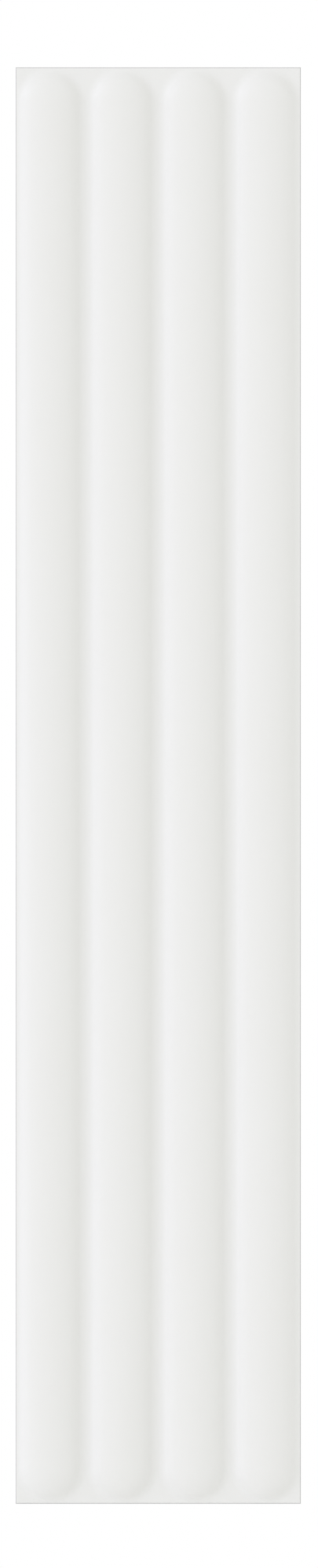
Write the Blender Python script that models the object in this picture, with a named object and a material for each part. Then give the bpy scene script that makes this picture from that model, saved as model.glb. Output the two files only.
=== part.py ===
"""A white satin-glazed ceramic skirting tile: a flat slab whose front carries convex, round-ended reeds.

The tile stands upright in metres. X runs across its width, Z along its length, and the front faces -Y.
The origin is the centre of the back face, the plane that is bedded on a wall.
"""

import math

import bmesh
import bpy

# Driving dimensions, in metres
TILE_WIDTH = 0.0988
TILE_LENGTH = 0.4988
BODY_THICKNESS = 0.008  # back face to the floor between the reeds
GROUT_JOINT = 0.0012  # one tile and one joint fill a 100 by 500 mm module
REED_PITCH = 0.025
REED_WIDTH = 0.025  # foot to foot across one reed
CROWN_HALF_WIDTH = 0.006  # spine to the end of the flatter crown
CROWN_RADIUS = 0.022
SHOULDER_RADIUS = 0.012  # rounder flank below the crown
VALLEY_RADIUS = 0.005  # hollow curve at the foot of a reed
ARRIS_RADIUS = 0.0004  # rounded edge all round the front
BACK_CHAMFER = 0.0004
BACK_RIM = 0.006  # plain rim round the keyed back
KEY_PITCH = 0.024  # nominal spacing of the keying pockets
KEY_LAND = 0.005  # raised strip between two pockets
KEY_DEPTH = 0.0008
KEY_DRAFT = 0.0006  # how far a pocket's walls lean in over its depth

# Facets along each round stretch
CROWN_STEPS = 4
SHOULDER_STEPS = 4
VALLEY_STEPS = 5
END_STEPS = 24  # half turn round the end of a reed
ARRIS_STEPS = 3

# Points nearer than this count as one
MERGE_DISTANCE = 0.000002

# Finish
GLAZE_COLOUR = (0.83, 0.83, 0.815, 1.0)
GLAZE_ROUGHNESS = 0.38
CREASE_ANGLE = 25  # degrees between two faces, from which their edge is shaded sharp


def clear_scene():
    for obj in list(bpy.data.objects):
        bpy.data.objects.remove(obj, do_unlink=True)


def glaze_material():
    material = bpy.data.materials.new("white_satin_glaze")
    material.use_nodes = True
    shader = material.node_tree.nodes["Principled BSDF"]
    shader.inputs["Base Color"].default_value = GLAZE_COLOUR
    shader.inputs["Roughness"].default_value = GLAZE_ROUGHNESS
    shader.inputs["Metallic"].default_value = 0.0
    return material


def reed_arcs():
    """Half of a reed's section: crown, shoulder and valley arcs, each as steep as the next where they meet.

    Each arc is (its centre's distance from the spine, its centre's height above the floor, radius,
    slope at its start, slope at its end, facets). The hollow valley's radius is negative.
    """
    half_width = REED_WIDTH / 2
    crown_slope = math.asin(CROWN_HALF_WIDTH / CROWN_RADIUS)
    shoulder_centre = CROWN_HALF_WIDTH * (1 - SHOULDER_RADIUS / CROWN_RADIUS)
    steepest = math.asin((half_width - shoulder_centre) / (SHOULDER_RADIUS + VALLEY_RADIUS))
    shoulder_height = VALLEY_RADIUS - (SHOULDER_RADIUS + VALLEY_RADIUS) * math.cos(steepest)
    crown_height = shoulder_height - (CROWN_RADIUS - SHOULDER_RADIUS) * math.cos(crown_slope)
    return (
        (0.0, crown_height, CROWN_RADIUS, 0.0, crown_slope, CROWN_STEPS),
        (shoulder_centre, shoulder_height, SHOULDER_RADIUS, crown_slope, steepest, SHOULDER_STEPS),
        (half_width, VALLEY_RADIUS, -VALLEY_RADIUS, steepest, 0.0, VALLEY_STEPS),
    )


def reed_section():
    """Half of a reed's section from crest to foot, as (distance from the spine, height above the floor)."""
    points = []
    for centre, height, radius, start, end, steps in reed_arcs():
        for step in range(steps):
            slope = start + (end - start) * step / steps
            points.append((centre + radius * math.sin(slope), height + radius * math.cos(slope)))
    points.append((REED_WIDTH / 2, 0.0))
    return points


def reed_spines():
    """The X of each reed's spine: as many as fit in the tile and its joint, centred."""
    module_width = TILE_WIDTH + GROUT_JOINT
    count = max(1, int((module_width + MERGE_DISTANCE) / REED_PITCH))
    return [(index - (count - 1) / 2) * REED_PITCH for index in range(count)]


def spine_half_length():
    """A reed's foot ends where the module ends, half a joint outside the tile."""
    return (TILE_LENGTH + GROUT_JOINT - REED_WIDTH) / 2


def edges_of(geometry):
    return [item for item in geometry if isinstance(item, bmesh.types.BMEdge)]


def verts_of(geometry):
    return [item for item in geometry if isinstance(item, bmesh.types.BMVert)]


def join(bm, other):
    """Adds one bmesh to another and frees it."""
    mesh = bpy.data.meshes.new("joined")
    other.to_mesh(mesh)
    other.free()
    bm.from_mesh(mesh)
    bpy.data.meshes.remove(mesh)


def trim(bm, point, outward):
    """Cuts away everything beyond a plane."""
    everything = bm.verts[:] + bm.edges[:] + bm.faces[:]
    bmesh.ops.bisect_plane(
        bm,
        geom=everything,
        dist=MERGE_DISTANCE,
        plane_co=point,
        plane_no=outward,
        clear_outer=True,
    )


def add_reed(sheet, spine_x, left_x, right_x, end_z):
    """Adds one reed and the floor round it to the sheet, from left_x to right_x and from -end_z to end_z."""
    half_length = spine_half_length()
    reach_x = max(spine_x - left_x, right_x - spine_x)
    reach_z = end_z - half_length
    corner = math.hypot(reach_x, reach_z) / math.cos(math.pi / 2 / END_STEPS)
    past_corner = max(corner, REED_WIDTH / 2) + REED_PITCH / 2
    outline = reed_section() + [(past_corner, 0.0)]

    bm = bmesh.new()
    chain = [
        bm.verts.new((spine_x + distance, -BODY_THICKNESS - height, half_length))
        for distance, height in outline
    ]
    edges = [bm.edges.new(pair) for pair in zip(chain, chain[1:])]
    verts = chain
    for end in (half_length, -half_length):
        turned = bmesh.ops.spin(
            bm,
            geom=verts + edges,
            cent=(spine_x, 0.0, end),
            axis=(0.0, -1.0, 0.0),
            angle=math.pi,
            steps=END_STEPS,
        )
        drawn = bmesh.ops.extrude_edge_only(bm, edges=edges_of(turned["geom_last"]))
        verts = verts_of(drawn["geom"])
        edges = edges_of(drawn["geom"])
        edges = [edge for edge in edges if all(vert in verts for vert in edge.verts)]
        bmesh.ops.translate(bm, verts=verts, vec=(0.0, 0.0, -2 * end))
    bmesh.ops.remove_doubles(bm, verts=bm.verts[:], dist=MERGE_DISTANCE)

    trim(bm, (left_x, 0.0, 0.0), (-1.0, 0.0, 0.0))
    trim(bm, (right_x, 0.0, 0.0), (1.0, 0.0, 0.0))
    trim(bm, (0.0, 0.0, -end_z), (0.0, 0.0, -1.0))
    trim(bm, (0.0, 0.0, end_z), (0.0, 0.0, 1.0))
    join(sheet, bm)


def front_sheet():
    """The relief as one open sheet, as far as the start of the rounded arris."""
    edge_x = TILE_WIDTH / 2 - ARRIS_RADIUS
    edge_z = TILE_LENGTH / 2 - ARRIS_RADIUS
    spines = reed_spines()
    sheet = bmesh.new()
    for spine_x in spines:
        left_x = -edge_x if spine_x == spines[0] else spine_x - REED_PITCH / 2
        right_x = edge_x if spine_x == spines[-1] else spine_x + REED_PITCH / 2
        add_reed(sheet, spine_x, left_x, right_x, edge_z)
    bmesh.ops.remove_doubles(sheet, verts=sheet.verts[:], dist=MERGE_DISTANCE)
    return sheet


def grow_rim(bm, outward, forward):
    """Extends a sheet with a rectangular rim: out from its centre by one distance and forward by another."""
    rim = [edge for edge in bm.edges if edge.is_boundary]
    grown = verts_of(bmesh.ops.extrude_edge_only(bm, edges=rim)["geom"])
    reach_x = max(vert.co.x for vert in grown)
    reach_z = max(vert.co.z for vert in grown)
    for vert in grown:
        if abs(vert.co.x) > reach_x - MERGE_DISTANCE:
            vert.co.x += math.copysign(outward, vert.co.x)
        if abs(vert.co.z) > reach_z - MERGE_DISTANCE:
            vert.co.z += math.copysign(outward, vert.co.z)
        vert.co.y -= forward


def round_arris(sheet):
    """Turns the front's rim back through a quarter circle, to the flat sides."""
    quarter = math.pi / 2
    for step in range(ARRIS_STEPS):
        start = quarter * step / ARRIS_STEPS
        end = quarter * (step + 1) / ARRIS_STEPS
        outward = ARRIS_RADIUS * (math.sin(end) - math.sin(start))
        backward = ARRIS_RADIUS * (math.cos(start) - math.cos(end))
        grow_rim(sheet, outward, -backward)


def even_count(length):
    """Pockets along a length: an even number, so that a land crosses the middle of the back."""
    return 2 * max(1, round(length / KEY_PITCH / 2))


def add_back(bm):
    """The keyed back: a grid of shallow tapered pockets inside a plain rim, and a small chamfer round it."""
    keyed_width = TILE_WIDTH - 2 * BACK_RIM + KEY_LAND
    keyed_length = TILE_LENGTH - 2 * BACK_RIM + KEY_LAND
    columns = even_count(keyed_width)
    rows = even_count(keyed_length)
    back = bmesh.new()
    bmesh.ops.create_grid(back, x_segments=columns, y_segments=rows, size=0.5)
    for vert in back.verts:
        vert.co = (vert.co.x * keyed_width, 0.0, -vert.co.y * keyed_length)
    back.normal_update()
    pockets = back.faces[:]
    bmesh.ops.inset_individual(back, faces=pockets, thickness=KEY_LAND / 2, use_even_offset=True)
    bmesh.ops.inset_individual(
        back, faces=pockets, thickness=KEY_DRAFT, depth=-KEY_DEPTH, use_even_offset=True
    )
    grow_rim(back, BACK_RIM - KEY_LAND / 2 - BACK_CHAMFER, 0.0)
    grow_rim(back, BACK_CHAMFER, BACK_CHAMFER)
    join(bm, back)


def close_side(bm, rim, across, along, sign):
    """Fills one flat side between the front's rim and the back's, as a single face."""
    limit = max(vert.co[across] * sign for vert in rim)
    side = [vert for vert in rim if vert.co[across] * sign > limit - MERGE_DISTANCE]
    side.sort(key=lambda vert: vert.co[along])
    split_y = -BACK_CHAMFER - MERGE_DISTANCE
    front = [vert for vert in side if vert.co.y < split_y]
    back = [vert for vert in side if vert.co.y >= split_y]
    bm.faces.new(front + back[::-1])


def make_tile():
    bm = front_sheet()
    round_arris(bm)
    add_back(bm)
    rim = [vert for vert in bm.verts if vert.is_boundary]
    for sign in (-1, 1):
        close_side(bm, rim, 0, 2, sign)
        close_side(bm, rim, 2, 0, sign)
    bmesh.ops.recalc_face_normals(bm, faces=bm.faces[:])
    mesh = bpy.data.meshes.new("skirting_tile")
    bm.to_mesh(mesh)
    bm.free()
    mesh.shade_smooth()
    mesh.set_sharp_from_angle(angle=math.radians(CREASE_ANGLE))
    mesh.materials.append(glaze_material())
    tile = bpy.data.objects.new("skirting_tile", mesh)
    bpy.context.scene.collection.objects.link(tile)
    return tile


clear_scene()
make_tile()
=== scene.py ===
import math

import bmesh
import bpy
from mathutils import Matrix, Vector, noise


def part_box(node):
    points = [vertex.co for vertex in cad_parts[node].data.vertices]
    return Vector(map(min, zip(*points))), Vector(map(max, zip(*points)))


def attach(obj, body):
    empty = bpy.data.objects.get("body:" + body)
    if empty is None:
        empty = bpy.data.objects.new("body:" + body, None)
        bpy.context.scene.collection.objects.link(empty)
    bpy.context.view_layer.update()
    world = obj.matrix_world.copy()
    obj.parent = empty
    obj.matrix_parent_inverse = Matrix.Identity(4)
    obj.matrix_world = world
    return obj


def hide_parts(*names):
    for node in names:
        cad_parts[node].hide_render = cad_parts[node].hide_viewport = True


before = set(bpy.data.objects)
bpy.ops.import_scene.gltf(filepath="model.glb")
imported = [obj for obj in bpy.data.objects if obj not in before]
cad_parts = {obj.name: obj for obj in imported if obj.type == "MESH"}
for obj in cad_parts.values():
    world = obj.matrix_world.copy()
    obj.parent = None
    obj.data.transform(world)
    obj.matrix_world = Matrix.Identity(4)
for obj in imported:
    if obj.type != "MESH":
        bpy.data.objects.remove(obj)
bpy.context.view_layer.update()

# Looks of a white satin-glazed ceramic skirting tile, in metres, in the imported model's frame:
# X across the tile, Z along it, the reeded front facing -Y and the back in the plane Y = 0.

X, Y, Z = range(3)

# The tile, from the frame
NODE = "skirting_tile"
tile_low, tile_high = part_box(NODE)
HALF_WIDTH = (tile_high[X] - tile_low[X]) / 2
HALF_LENGTH = (tile_high[Z] - tile_low[Z]) / 2
DEPTH = tile_high[Y] - tile_low[Y]

# The relief, whose sizes repeat those of the solid
REED_COUNT = 4
REED_PITCH = 0.025
REED_WIDTH = 0.025
CROWN_HALF_WIDTH = 0.006
CROWN_RADIUS = 0.022
SHOULDER_RADIUS = 0.012
VALLEY_RADIUS = 0.005
GROUT_JOINT = 0.0012
SPINE_HALF_LENGTH = HALF_LENGTH + GROUT_JOINT / 2 - REED_WIDTH / 2

# The edges
ARRIS_RADIUS = 0.0004
ARRIS_STEPS = 9
GLAZED_STEPS = 3  # from the front; the rest of the arris is ground through the glaze
BACK_ROUND = 0.0004  # in place of the solid's chamfer
BACK_ROUND_STEPS = 3

# The keyed back
BACK_RIM = 0.006
KEY_PITCH = 0.024
KEY_LAND = 0.005
KEY_DEPTH = 0.0008
KEY_DRAFT = 0.0006
KEY_CORNER = 0.0022
KEY_LIP = 0.0003
KEY_CORNER_STEPS = 5
KEY_LIP_STEPS = 3
CORNER_SIGNS = ((1, 1), (-1, 1), (-1, -1), (1, -1))  # a pocket's corners in turn, across and along

# The meshes
FINE_STEP = 0.0005  # between points across the front, and along it where the reeds round off
LONG_STEP = 0.004  # between points along the straight part of the reeds
WARP_HEIGHT = 0.00006  # half of the warp at its deepest
WARP_LENGTH = 0.045  # size of its swells
MERGE_DISTANCE = 0.000002
COUNT_SLACK = 0.000002  # keeps a rounding error from adding a step

# Material slots of the tile's mesh
GLAZE, GROUND_EDGE, GROUND_SIDE, PRESSED_BACK = range(4)

# Colours
GLAZE_WHITE = (0.745, 0.746, 0.719, 1.0)
GLAZE_THIN = (0.736, 0.736, 0.704, 1.0)
EDGE_PALE = (0.48, 0.48, 0.47, 1.0)
EDGE_DARK = (0.40, 0.40, 0.39, 1.0)
BODY_PALE = (0.62, 0.605, 0.575, 1.0)
BODY_DARK = (0.52, 0.505, 0.475, 1.0)
KILN_WASH = (0.72, 0.71, 0.69, 1.0)
FLOOR_PALE = (0.61, 0.61, 0.61, 1.0)
FLOOR_GREY = (0.59, 0.59, 0.59, 1.0)
WHEEL_MARK_TINT = 0.3  # share of the dark clay in a wheel mark

# Roughness, from 0 for a mirror to 1
GLAZE_ROUGHNESS = (0.42, 0.5)
EDGE_ROUGHNESS = 0.8
SIDE_ROUGHNESS = 0.85
BACK_ROUGHNESS = 0.9
FLOOR_ROUGHNESS = 0.7

# Noises: the size of the features, how many times finer ones are laid on them, and how strong those are
CLOUDS = (0.03, 3.0, 0.5)
GLOSS_PATCHES = (0.004, 3.0, 0.5)
ORANGE_PEEL = (0.0012, 1.0, 0.5)
RIPPLES = (0.006, 1.0, 0.5)
CLAY_GRAIN = (0.0005, 4.0, 0.7)
CLAY_MOTTLE = (0.012, 3.0, 0.5)
WHEEL_MARKS = (0.0004, 3.0, 0.6)
WASH_PATCHES = (0.008, 5.0, 0.65)
FLOOR_TONES = (0.4, 2.0, 0.5)
WHEEL_MARK_STRETCH = (0.04, 1.0, 0.04)  # draws the wheel marks out along the sides

# The part of a noise's range that is spread over the whole of it
SOFT_RANGE = (0.3, 0.7)
SHARP_RANGE = (0.35, 0.65)
WASH_RANGE = (0.42, 0.6)

# Heights of the finest relief
PEEL_HEIGHT = 0.000004
RIPPLE_HEIGHT = 0.00002
GROUND_GRAIN_HEIGHT = 0.00002
WHEEL_MARK_HEIGHT = 0.00003
BACK_GRAIN_HEIGHT = 0.00004

# The world's light, by how far back it comes from: -1 straight before the tile, 1 straight behind it
WORLD_COLOUR = (1.0, 1.0, 1.0, 1.0)
STRAIGHT_BEFORE = -1.0
BACKDROP_STARTS = 0.6
BACKDROP_FULL = 0.75
FRONT_LIGHT = 1.12
FLANK_LIGHT = 0.74
BACKDROP_LIGHT = 1.0

# The key light, where a sun as strong as pi lights a white face square to it to 1
KEY_LIGHT_COLOUR = (0.80, 0.80, 1.0)
KEY_LIGHT_STRENGTH = 0.237 * math.pi
KEY_LIGHT_FROM_NORMAL = math.radians(65)
KEY_LIGHT_RISE = math.radians(20)
KEY_LIGHT_SPREAD = math.radians(30)

# The floor
FLOOR_HALF = 4.0
FLOOR_GLOW = 0.41

# The camera, from the tile's place in the photograph's frame
FRAME_WIDTH_PX, FRAME_HEIGHT_PX = 405, 2000
TILE_HEIGHT_PX = 1831.8
TILE_CENTRE_PX = (201.54, 1002.0)
METRES_PER_PX = 2 * HALF_LENGTH / TILE_HEIGHT_PX
CAMERA_DISTANCE = 2.0


def reed_arcs():
    """Half of a reed's section as arcs: (where it ends, its centre's distance and height, its radius).

    The radius of a hollow arc is negative.
    """
    half_width = REED_WIDTH / 2
    shoulder_centre = CROWN_HALF_WIDTH * (1 - SHOULDER_RADIUS / CROWN_RADIUS)
    crown_slope = math.asin(CROWN_HALF_WIDTH / CROWN_RADIUS)
    steepest = math.asin((half_width - shoulder_centre) / (SHOULDER_RADIUS + VALLEY_RADIUS))
    shoulder_height = VALLEY_RADIUS - (SHOULDER_RADIUS + VALLEY_RADIUS) * math.cos(steepest)
    crown_height = shoulder_height - (CROWN_RADIUS - SHOULDER_RADIUS) * math.cos(crown_slope)
    shoulder_end = shoulder_centre + SHOULDER_RADIUS * math.sin(steepest)
    return (
        (CROWN_HALF_WIDTH, 0.0, crown_height, CROWN_RADIUS),
        (shoulder_end, shoulder_centre, shoulder_height, SHOULDER_RADIUS),
        (half_width, half_width, VALLEY_RADIUS, -VALLEY_RADIUS),
    )


def section_height(distance):
    """Height of a reed above the floor: a convex crown and shoulder that run into a hollow valley."""
    for end, centre, height, radius in REED_ARCS:
        if distance <= end:
            return height + math.copysign(math.sqrt(radius**2 - (distance - centre) ** 2), radius)
    return 0.0


REED_ARCS = reed_arcs()
FLOOR_DEPTH = DEPTH - section_height(0.0)


def relief(x, z):
    """Height above the floor at a point of the front, from the nearest reed's spine."""
    middle = (REED_COUNT - 1) / 2
    index = min(max(round(x / REED_PITCH + middle), 0), REED_COUNT - 1)
    across = x - (index - middle) * REED_PITCH
    beyond = max(abs(z) - SPINE_HALF_LENGTH, 0.0)
    return section_height(math.hypot(across, beyond))


def firing_warp(x, z):
    """How far the fired surface lies under its pressed shape, from nothing to twice WARP_HEIGHT."""
    place = Vector((x / WARP_LENGTH, z / WARP_LENGTH, 0.0))
    return WARP_HEIGHT * (1 + max(-1.0, min(1.0, noise.noise(place))))


def spaced(start, end, step):
    """Even values from start to end, at most a step apart."""
    count = math.ceil((end - start) / step - COUNT_SLACK)
    return [start + (end - start) * index / count for index in range(count + 1)]


def front_sheet():
    """The relief as a fine grid, finer along Z where the reeds round off, as far as the arris."""
    edge_x = HALF_WIDTH - ARRIS_RADIUS
    edge_z = HALF_LENGTH - ARRIS_RADIUS
    columns = spaced(-edge_x, edge_x, FINE_STEP)
    end_rows = spaced(SPINE_HALF_LENGTH, edge_z, FINE_STEP)
    long_rows = spaced(-SPINE_HALF_LENGTH, SPINE_HALF_LENGTH, LONG_STEP)
    rows = [-z for z in reversed(end_rows)] + long_rows[1:-1] + end_rows
    sheet = bmesh.new()
    grid = []
    for z in rows:
        line = []
        for x in columns:
            height = FLOOR_DEPTH + relief(x, z) - firing_warp(x, z)
            line.append(sheet.verts.new((x, -height, z)))
        grid.append(line)
    for lower, upper in zip(grid, grid[1:]):
        for left in range(len(columns) - 1):
            corners = (lower[left], lower[left + 1], upper[left + 1], upper[left])
            sheet.faces.new(corners).material_index = GLAZE
    return sheet


def grow_rim(sheet, outward, forward):
    """Extends a sheet with a rectangular rim: out from its centre by one distance and forward by another.

    Returns the new faces.
    """
    rim = [edge for edge in sheet.edges if edge.is_boundary]
    geometry = bmesh.ops.extrude_edge_only(sheet, edges=rim)["geom"]
    grown = [item for item in geometry if isinstance(item, bmesh.types.BMVert)]
    reach_x = max(vert.co.x for vert in grown)
    reach_z = max(vert.co.z for vert in grown)
    for vert in grown:
        if abs(vert.co.x) > reach_x - MERGE_DISTANCE:
            vert.co.x += math.copysign(outward, vert.co.x)
        if abs(vert.co.z) > reach_z - MERGE_DISTANCE:
            vert.co.z += math.copysign(outward, vert.co.z)
        vert.co.y -= forward
    return [item for item in geometry if isinstance(item, bmesh.types.BMFace)]


def quarter_steps(radius, count):
    """(along, down) moves that follow a quarter circle, from flat to upright."""
    angles = [math.pi / 2 * step / count for step in range(count + 1)]
    return [
        (radius * (math.sin(end) - math.sin(start)), radius * (math.cos(start) - math.cos(end)))
        for start, end in zip(angles, angles[1:])
    ]


def round_arris(sheet):
    """Rounds the front's rim back to the sides, glazed at first and then ground bare."""
    for step, (outward, backward) in enumerate(quarter_steps(ARRIS_RADIUS, ARRIS_STEPS)):
        for face in grow_rim(sheet, outward, -backward):
            face.material_index = GLAZE if step < GLAZED_STEPS else GROUND_EDGE


def pocket_ring(back, centre, half, corner, y):
    """One ring of a keying pocket: a rectangle with round corners, as four arcs of points."""
    arcs = []
    for quarter, (sign_x, sign_z) in enumerate(CORNER_SIGNS):
        arc_x = centre[0] + sign_x * (half[0] - corner)
        arc_z = centre[1] + sign_z * (half[1] - corner)
        arc = []
        for step in range(KEY_CORNER_STEPS + 1):
            turn = math.pi / 2 * (quarter + step / KEY_CORNER_STEPS)
            place = (arc_x + corner * math.cos(turn), y, arc_z + corner * math.sin(turn))
            arc.append(back.verts.new(place))
        arcs.append(arc)
    return arcs


def key_profile():
    """A pocket's wall from its mouth to its floor, as (inset, depth), with a rounded lip and foot."""
    points = [(0.0, 0.0)]
    for inset, sink in quarter_steps(KEY_LIP, KEY_LIP_STEPS):
        points.append((points[-1][0] + inset, points[-1][1] + sink))
    wall_foot = KEY_DEPTH - KEY_LIP
    points.append((points[-1][0] + KEY_DRAFT, wall_foot))
    for sink, inset in reversed(quarter_steps(KEY_LIP, KEY_LIP_STEPS)):
        points.append((points[-1][0] + inset, points[-1][1] + sink))
    return points


def add_pocket(back, low_x, high_x, low_z, high_z):
    """One cell of the keyed back: half a land all round a shallow tapered pocket."""
    centre = ((low_x + high_x) / 2, (low_z + high_z) / 2)
    half_x, half_z = (high_x - low_x - KEY_LAND) / 2, (high_z - low_z - KEY_LAND) / 2
    places = ((high_x, high_z), (low_x, high_z), (low_x, low_z), (high_x, low_z))
    corners = [back.verts.new((x, 0.0, z)) for x, z in places]
    rings = [
        pocket_ring(back, centre, (half_x - inset, half_z - inset), KEY_CORNER - inset / 2, -depth)
        for inset, depth in key_profile()
    ]
    mouth = rings[0]
    for quarter, arc in enumerate(mouth):
        following = (quarter + 1) % len(mouth)
        for start, end in zip(arc, arc[1:]):
            back.faces.new((corners[quarter], end, start))
        back.faces.new((corners[quarter], corners[following], mouth[following][0], arc[-1]))
    loops = [[vert for arc in ring for vert in arc] for ring in rings]
    for outer, inner in zip(loops, loops[1:]):
        for index in range(len(outer)):
            ahead = (index + 1) % len(outer)
            back.faces.new((outer[index], outer[ahead], inner[ahead], inner[index]))
    back.faces.new(loops[-1])


def even_count(length):
    """Pockets along a length: an even number, so that a land crosses the middle of the back."""
    return 2 * max(1, round(length / KEY_PITCH / 2))


def pocket_lines(half_length):
    """Where one pocket's cell ends and the next begins, from minus to plus half a length."""
    count = even_count(2 * half_length)
    pitch = 2 * half_length / count
    return [-half_length + pitch * index for index in range(count + 1)]


def back_sheet():
    """The keyed back inside a plain rim, with a rounded edge."""
    lines_x = pocket_lines(HALF_WIDTH - BACK_RIM + KEY_LAND / 2)
    lines_z = pocket_lines(HALF_LENGTH - BACK_RIM + KEY_LAND / 2)
    back = bmesh.new()
    for low_x, high_x in zip(lines_x, lines_x[1:]):
        for low_z, high_z in zip(lines_z, lines_z[1:]):
            add_pocket(back, low_x, high_x, low_z, high_z)
    bmesh.ops.remove_doubles(back, verts=back.verts[:], dist=MERGE_DISTANCE)
    grow_rim(back, BACK_RIM - KEY_LAND / 2 - BACK_ROUND, 0.0)
    for face in back.faces:
        face.material_index = PRESSED_BACK
    for outward, forward in quarter_steps(BACK_ROUND, BACK_ROUND_STEPS):
        for face in grow_rim(back, outward, forward):
            face.material_index = GROUND_SIDE
    return back


def join(body, other):
    """Adds one bmesh to another and frees it."""
    mesh = bpy.data.meshes.new("joined")
    other.to_mesh(mesh)
    other.free()
    body.from_mesh(mesh)
    bpy.data.meshes.remove(mesh)


def close_side(body, rim, across, along, sign):
    """Fills one flat side between the front's rim and the back's, as a single face, and returns it."""
    limit = max(vert.co[across] * sign for vert in rim)
    side = [vert for vert in rim if vert.co[across] * sign > limit - MERGE_DISTANCE]
    side.sort(key=lambda vert: vert.co[along])
    middle_y = -FLOOR_DEPTH / 2
    front = [vert for vert in side if vert.co.y < middle_y]
    back = [vert for vert in side if vert.co.y >= middle_y]
    face = body.faces.new(front + back[::-1])
    face.material_index = GROUND_SIDE
    return face


def make_tile(materials):
    """The whole tile as one closed mesh, smooth but for its flat sides. Materials are in slot order."""
    body = front_sheet()
    round_arris(body)
    join(body, back_sheet())
    rim = [vert for vert in body.verts if vert.is_boundary]
    sides = []
    for sign in (-1, 1):
        sides.append(close_side(body, rim, X, Z, sign))
        sides.append(close_side(body, rim, Z, X, sign))
    bmesh.ops.recalc_face_normals(body, faces=body.faces[:])
    for face in body.faces:
        face.smooth = True
    for face in sides:
        face.smooth = False
    mesh = bpy.data.meshes.new("fired_tile")
    body.to_mesh(mesh)
    body.free()
    for material in materials:
        mesh.materials.append(material)
    tile = bpy.data.objects.new("fired_tile", mesh)
    bpy.context.scene.collection.objects.link(tile)
    return tile


class Nodes:
    """The nodes of a material or a world, with short calls to add and link them."""

    def __init__(self, owner, shader):
        owner.use_nodes = True
        self.owner = owner
        self.tree = owner.node_tree
        self.shader = self.tree.nodes[shader]

    def add(self, kind, inputs=None, **settings):
        """A new node with its settings and inputs, which are values or other nodes' outputs."""
        node = self.tree.nodes.new("ShaderNode" + kind)
        for name, value in settings.items():
            setattr(node, name, value)
        for key, value in (inputs or {}).items():
            self.put(node.inputs[key], value)
        return node

    def put(self, socket, value):
        """Links another node's output to a socket, or sets the socket to a value."""
        if isinstance(value, bpy.types.NodeSocket):
            self.tree.links.new(value, socket)
        else:
            socket.default_value = value

    def place(self):
        """Coordinates on the piece, in metres."""
        return self.add("TexCoord").outputs["Object"]

    def coordinate(self, vector, axis):
        """One coordinate of a vector, by its letter."""
        return self.add("SeparateXYZ", {"Vector": vector}).outputs[axis]

    def combine(self, operation, first, second):
        """Two values, added or multiplied."""
        return self.add("Math", {0: first, 1: second}, operation=operation).outputs["Value"]

    def noise(self, vector, pattern):
        """Soft noise from 0 to 1, in one of the patterns that are named at the top."""
        size, detail, roughness = pattern
        inputs = {"Vector": vector, "Scale": 1 / size, "Detail": detail, "Roughness": roughness}
        return self.add("TexNoise", inputs).outputs["Fac"]

    def spread(self, value, given, wanted=(0.0, 1.0)):
        """Maps a value from one range to another, clamped."""
        inputs = {
            "Value": value,
            "From Min": given[0],
            "From Max": given[1],
            "To Min": wanted[0],
            "To Max": wanted[1],
        }
        return self.add("MapRange", inputs).outputs["Result"]

    def mix(self, factor, first, second):
        """A colour between two others."""
        node = self.add("Mix", {"Factor": factor}, data_type="RGBA")
        colours = {socket.name: socket for socket in node.inputs if socket.type == "RGBA"}
        self.put(colours["A"], first)
        self.put(colours["B"], second)
        return next(socket for socket in node.outputs if socket.type == "RGBA")

    def bump(self, height, distance, under=None):
        """A bump as high as distance in metres, on top of another."""
        inputs = {"Height": height, "Distance": distance}
        if under is not None:
            inputs["Normal"] = under
        return self.add("Bump", inputs).outputs["Normal"]

    def finish(self, **values):
        """Sets or links the shader's sockets, named as Base_Color for Base Color, and returns the owner."""
        for name, value in values.items():
            self.put(self.shader.inputs[name.replace("_", " ")], value)
        return self.owner


def material_nodes(name):
    """The nodes of a new material."""
    return Nodes(bpy.data.materials.new(name), "Principled BSDF")


def glaze_material():
    """White satin glaze: near even in colour, a little thinner on the crests, with a faint orange peel."""
    nodes = material_nodes("white_satin_glaze")
    place = nodes.place()
    crest = nodes.spread(nodes.coordinate(place, "Y"), (-FLOOR_DEPTH, -DEPTH))
    thinning = nodes.combine("MULTIPLY", crest, nodes.noise(place, CLOUDS))
    peel = nodes.bump(nodes.noise(place, ORANGE_PEEL), PEEL_HEIGHT)
    return nodes.finish(
        Base_Color=nodes.mix(thinning, GLAZE_WHITE, GLAZE_THIN),
        Roughness=nodes.spread(nodes.noise(place, GLOSS_PATCHES), SOFT_RANGE, GLAZE_ROUGHNESS),
        Normal=nodes.bump(nodes.noise(place, RIPPLES), RIPPLE_HEIGHT, under=peel),
    )


def clay_colour(nodes, place, pale, dark):
    """Fired clay: soft mottling under a fine grain. Returns its colour and its grain."""
    grain = nodes.spread(nodes.noise(place, CLAY_GRAIN), SHARP_RANGE)
    mottle = nodes.spread(nodes.noise(place, CLAY_MOTTLE), SOFT_RANGE)
    both = nodes.combine("ADD", grain, mottle)
    return nodes.mix(nodes.spread(both, (0.0, 2.0)), dark, pale), grain


def ground_edge_material():
    """Clay laid bare where the arris was ground through the glaze, darker than the rest."""
    nodes = material_nodes("ground_clay_edge")
    colour, grain = clay_colour(nodes, nodes.place(), EDGE_PALE, EDGE_DARK)
    return nodes.finish(
        Base_Color=colour,
        Roughness=EDGE_ROUGHNESS,
        Normal=nodes.bump(grain, GROUND_GRAIN_HEIGHT),
    )


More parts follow.
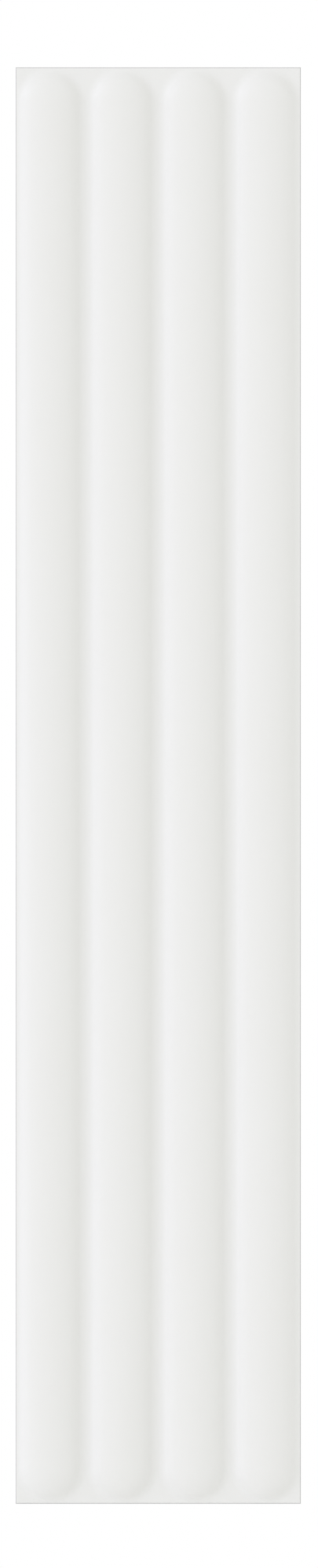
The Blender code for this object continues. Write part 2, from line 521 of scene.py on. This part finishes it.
def side_material():
    """The tile's sides: fired clay with fine wheel marks that run along each side."""
    nodes = material_nodes("ground_clay_side")
    place = nodes.place()
    colour, grain = clay_colour(nodes, place, BODY_PALE, BODY_DARK)
    along = nodes.add("Mapping", {"Vector": place, "Scale": WHEEL_MARK_STRETCH}).outputs["Vector"]
    marks = nodes.spread(nodes.noise(along, WHEEL_MARKS), SHARP_RANGE)
    tint = nodes.spread(marks, (0.0, 1.0), (0.0, WHEEL_MARK_TINT))
    rough = nodes.bump(grain, GROUND_GRAIN_HEIGHT)
    return nodes.finish(
        Base_Color=nodes.mix(tint, colour, BODY_DARK),
        Roughness=SIDE_ROUGHNESS,
        Normal=nodes.bump(marks, WHEEL_MARK_HEIGHT, under=rough),
    )


def back_material():
    """The pressed back: grained clay, with a worn white kiln wash on the lands."""
    nodes = material_nodes("pressed_clay_back")
    place = nodes.place()
    colour, grain = clay_colour(nodes, place, BODY_PALE, BODY_DARK)
    land = nodes.spread(nodes.coordinate(place, "Y"), (-KEY_DEPTH / 2, 0.0))
    patches = nodes.spread(nodes.noise(place, WASH_PATCHES), WASH_RANGE)
    wash = nodes.combine("MULTIPLY", land, patches)
    return nodes.finish(
        Base_Color=nodes.mix(wash, colour, KILN_WASH),
        Roughness=BACK_ROUGHNESS,
        Normal=nodes.bump(grain, BACK_GRAIN_HEIGHT),
    )


def floor_material():
    """A plain pale floor, which glows softly so that it doesn't darken the tile's foot."""
    nodes = material_nodes("pale_floor")
    tone = nodes.spread(nodes.noise(nodes.place(), FLOOR_TONES), SOFT_RANGE)
    return nodes.finish(
        Base_Color=nodes.mix(tone, FLOOR_PALE, FLOOR_GREY),
        Roughness=FLOOR_ROUGHNESS,
        Emission_Color=WORLD_COLOUR,
        Emission_Strength=FLOOR_GLOW,
    )


def make_floor():
    """A wide flat floor at the height of the tile's foot."""
    mesh = bpy.data.meshes.new("floor")
    floor_z = -HALF_LENGTH
    corners = ((-1, -1), (1, -1), (1, 1), (-1, 1))
    places = [(x * FLOOR_HALF, y * FLOOR_HALF, floor_z) for x, y in corners]
    mesh.from_pydata(places, [], [(0, 1, 2, 3)])
    mesh.materials.append(floor_material())
    floor = bpy.data.objects.new("floor", mesh)
    bpy.context.scene.collection.objects.link(floor)


def make_world():
    """Soft white light, strongest from the front and dimmer towards the sides, and a white backdrop."""
    nodes = Nodes(bpy.data.worlds.new("studio"), "Background")
    direction = nodes.add("TexCoord").outputs["Generated"]
    backward = nodes.coordinate(direction, "Y")
    graded = nodes.spread(backward, (STRAIGHT_BEFORE, BACKDROP_STARTS), (FRONT_LIGHT, FLANK_LIGHT))
    rise = BACKDROP_LIGHT - FLANK_LIGHT
    backdrop = nodes.spread(backward, (BACKDROP_STARTS, BACKDROP_FULL), (0.0, rise))
    strength = nodes.combine("ADD", graded, backdrop)
    bpy.context.scene.world = nodes.finish(Color=WORLD_COLOUR, Strength=strength)


def make_key_light():
    """A soft cool light from the left that grazes the reeds."""
    sun = bpy.data.lights.new("key", "SUN")
    sun.color = KEY_LIGHT_COLOUR
    sun.energy = KEY_LIGHT_STRENGTH
    sun.angle = KEY_LIGHT_SPREAD
    key = bpy.data.objects.new("key", sun)
    sideways = math.sin(KEY_LIGHT_FROM_NORMAL)
    travel = (
        sideways * math.cos(KEY_LIGHT_RISE),
        math.cos(KEY_LIGHT_FROM_NORMAL),
        -sideways * math.sin(KEY_LIGHT_RISE),
    )
    key.rotation_mode = "QUATERNION"
    key.rotation_quaternion = Vector(travel).to_track_quat("-Z", "Y")
    bpy.context.scene.collection.objects.link(key)


def make_camera():
    """Looks square at the front with parallel rays, as the photograph does."""
    data = bpy.data.cameras.new("camera")
    data.type = "ORTHO"
    data.ortho_scale = FRAME_HEIGHT_PX * METRES_PER_PX
    camera = bpy.data.objects.new("camera", data)
    right = (FRAME_WIDTH_PX / 2 - TILE_CENTRE_PX[0]) * METRES_PER_PX
    up = (TILE_CENTRE_PX[1] - FRAME_HEIGHT_PX / 2) * METRES_PER_PX
    camera.location = (right, -CAMERA_DISTANCE, up)
    camera.rotation_euler = (math.pi / 2, 0.0, 0.0)
    bpy.context.scene.collection.objects.link(camera)
    bpy.context.scene.camera = camera


make_camera()
make_world()
make_key_light()
make_floor()
tile = make_tile([glaze_material(), ground_edge_material(), side_material(), back_material()])
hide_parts(NODE)
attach(tile, "root")

bpy.context.scene.view_settings.view_transform = "Standard"
